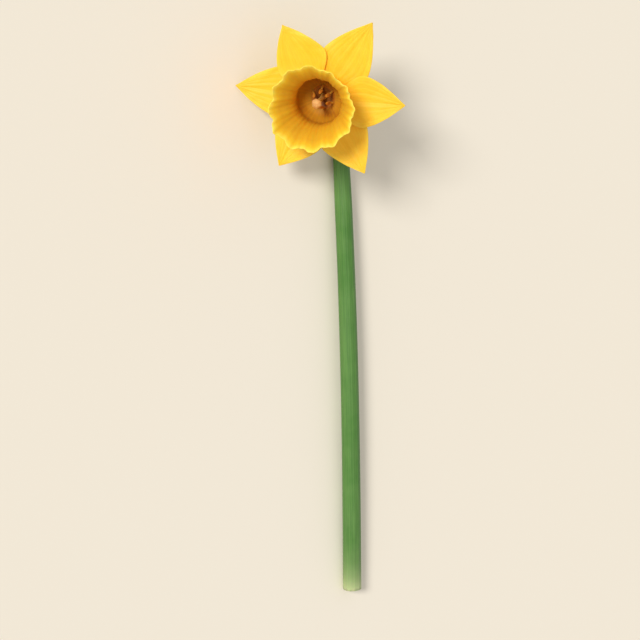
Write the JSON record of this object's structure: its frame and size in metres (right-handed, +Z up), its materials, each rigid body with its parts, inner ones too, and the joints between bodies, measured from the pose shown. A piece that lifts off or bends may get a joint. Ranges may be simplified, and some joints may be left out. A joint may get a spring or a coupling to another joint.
{
  "type": "daffodil flower",
  "caption": "Cut yellow trumpet daffodil lying on a surface: spread pointed petals, flared pleated corona, green ovary, bent neck, dry spathe and a long leafless stem.",
  "frame": {"origin": "middle of the laid flower's box, on the surface it rests on", "axes": "+Z up from the surface, +Y along the stem from the cut end to the bloom, the bloom facing up and towards -X"},
  "size_m": [0.0924, 0.3424, 0.0798],
  "materials": {
    "petal": "satin",
    "corona": "satin",
    "floral_tube": "satin",
    "pistil": "satin",
    "ovary": "satin",
    "stem": "satin",
    "spathe": "matte"
  },
  "bodies": {
    "root": {"stem": "stem", "spathe": "spathe", "ovary": "ovary", "floral_tube": "floral_tube", "pistil": "pistil", "corona": "corona", "petal_inner_1": "petal", "petal_inner_2": "petal", "petal_inner_3": "petal", "petal_outer_1": "petal", "petal_outer_2": "petal", "petal_outer_3": "petal"}
  },
  "joints": []
}
